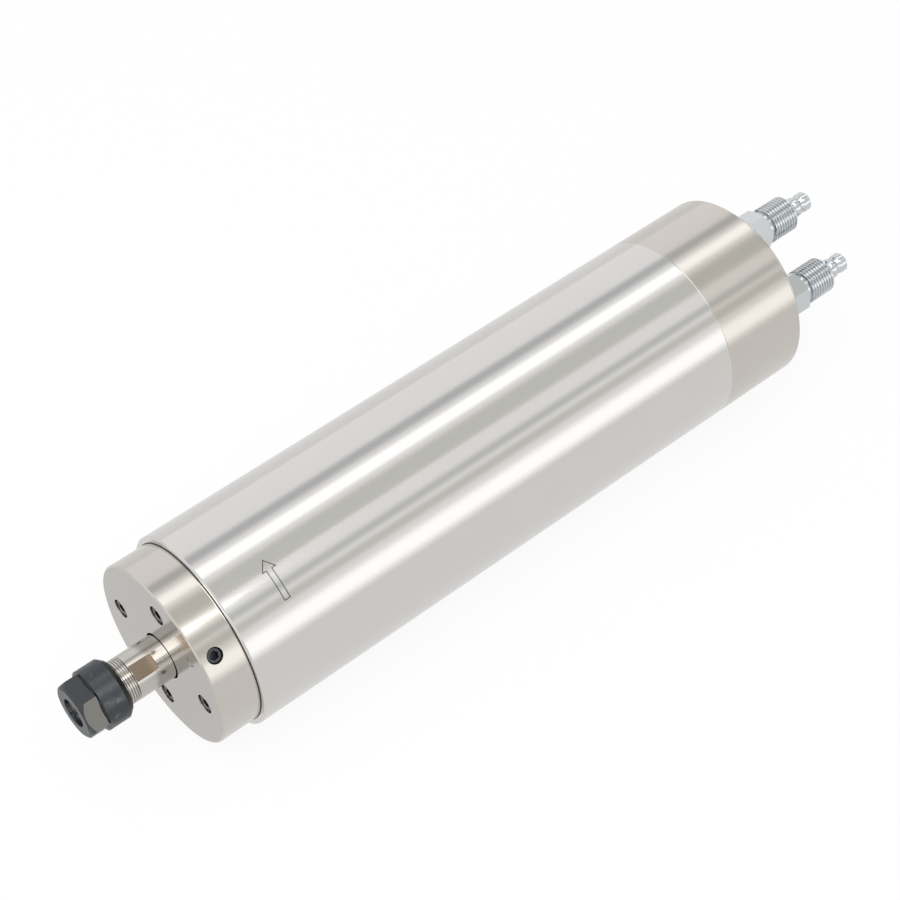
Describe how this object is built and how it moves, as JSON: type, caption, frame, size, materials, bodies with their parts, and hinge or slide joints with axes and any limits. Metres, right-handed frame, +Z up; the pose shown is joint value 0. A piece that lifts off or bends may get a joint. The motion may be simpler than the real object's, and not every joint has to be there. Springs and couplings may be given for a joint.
{
  "type": "water-cooled motor spindle",
  "caption": "Round steel motor spindle, water cooled, with a stepped nose cap, a threaded shaft nose with collet and clamping nut, and hose fittings and a power socket on its rear plate.",
  "frame": {"origin": "on the shaft axis, at the middle of the round sleeve that a spindle clamp grips", "axes": "+X along the axis from the nose to the rear, +Z up as the spindle lies in the picture"},
  "size_m": [0.2837, 0.062, 0.062],
  "materials": {
    "sleeve_steel": "ground stainless steel",
    "cap_steel": "turned stainless steel",
    "housing_steel": "turned steel",
    "jacket_aluminium": "machined aluminium",
    "black_screws": "black oxide",
    "plain_screws": "plain steel",
    "seal_rubber": "moulded nitrile",
    "lamination_steel": "stacked laminations",
    "winding_copper": "enamelled copper",
    "spring_steel": "spring steel",
    "tube_plastic": "polyurethane tube",
    "zinc_plate": "bright zinc plate",
    "copper_washer": "soft copper",
    "socket_chrome": "bright nickel plate",
    "socket_insulator": "moulded phenolic",
    "pin_gold": "gold-flashed brass",
    "lead_red": "silicone sleeve",
    "lead_green": "silicone sleeve",
    "brass_screw": "plain brass",
    "bearing_steel": "ground bearing steel",
    "cage_brass": "brass cage with steel balls",
    "shaft_steel": "ground steel",
    "locknut_steel": "black oxide",
    "rotor_aluminium": "cast aluminium",
    "collet_steel": "hardened spring steel",
    "nut_black_oxide": "black oxide, worn on the flats"
  },
  "bodies": {
    "housing": {"body_sleeve": "sleeve_steel", "front_cap": "cap_steel", "cap_screws": "black_screws", "bleed_screw": "black_screws", "passage_plug": "plain_screws", "front_housing": "housing_steel", "front_o_ring": "seal_rubber", "water_jacket": "jacket_aluminium", "jacket_seal_front": "seal_rubber", "jacket_seal_rear": "seal_rubber", "stator_core": "lamination_steel", "stator_windings": "winding_copper", "rear_housing": "housing_steel", "rear_o_ring": "seal_rubber", "preload_spring": "spring_steel", "rear_cap": "cap_steel", "rear_cap_screws": "black_screws", "rear_plate": "cap_steel", "rear_plate_screws": "plain_screws", "water_tube_in": "tube_plastic", "water_tube_out": "tube_plastic", "water_inlet": "zinc_plate", "water_outlet": "zinc_plate", "inlet_washer": "copper_washer", "outlet_washer": "copper_washer", "socket_shell": "socket_chrome", "socket_nut": "zinc_plate", "socket_insert": "socket_insulator", "socket_pins": "pin_gold", "motor_leads": "lead_red", "earth_lead": "lead_green", "earth_screw": "brass_screw", "front_outer_race_a": "bearing_steel", "front_outer_race_b": "bearing_steel", "rear_outer_race_a": "bearing_steel", "rear_outer_race_b": "bearing_steel", "outer_spacer": "shaft_steel"},
    "rotor": {"shaft": "shaft_steel", "slinger": "shaft_steel", "front_locknut": "locknut_steel", "rear_locknut": "locknut_steel", "rotor_core": "lamination_steel", "rotor_ring_front": "rotor_aluminium", "rotor_ring_rear": "rotor_aluminium", "rotor_spacer": "shaft_steel", "inner_spacer": "shaft_steel", "front_inner_race_a": "bearing_steel", "front_inner_race_b": "bearing_steel", "rear_inner_race_a": "bearing_steel", "rear_inner_race_b": "bearing_steel"},
    "front_cages": {"front_cage_a": "cage_brass", "front_cage_b": "cage_brass"},
    "rear_cages": {"rear_cage_a": "cage_brass", "rear_cage_b": "cage_brass"},
    "collet": {"collet": "collet_steel"},
    "collet_nut": {"collet_nut": "nut_black_oxide"}
  },
  "joints": [
    {"name": "rotor_spin", "type": "hinge", "parent": "housing", "child": "rotor", "pos_m": [0, 0, 0], "axis": [-1, 0, 0], "continuous": true},
    {"name": "front_cage_spin", "type": "hinge", "parent": "housing", "child": "front_cages", "pos_m": [0, 0, 0], "axis": [-1, 0, 0], "continuous": true},
    {"name": "rear_cage_spin", "type": "hinge", "parent": "housing", "child": "rear_cages", "pos_m": [0, 0, 0], "axis": [-1, 0, 0], "continuous": true},
    {"name": "collet_slide", "type": "slide", "parent": "rotor", "child": "collet", "axis": [-1, 0, 0], "range_m": [0, 0.0057]},
    {"name": "nut_turn", "type": "hinge", "parent": "collet", "child": "collet_nut", "pos_m": [0, 0, 0], "axis": [-1, 0, 0], "range_deg": [0, 2700]}
  ],
  "couplings": [
    {"joint": "front_cage_spin", "follows": "rotor_spin", "ratio": 0.40217},
    {"joint": "rear_cage_spin", "follows": "rotor_spin", "ratio": 0.38505},
    {"joint": "collet_slide", "follows": "nut_turn", "m_per_rad": 0.00011937}
  ]
}
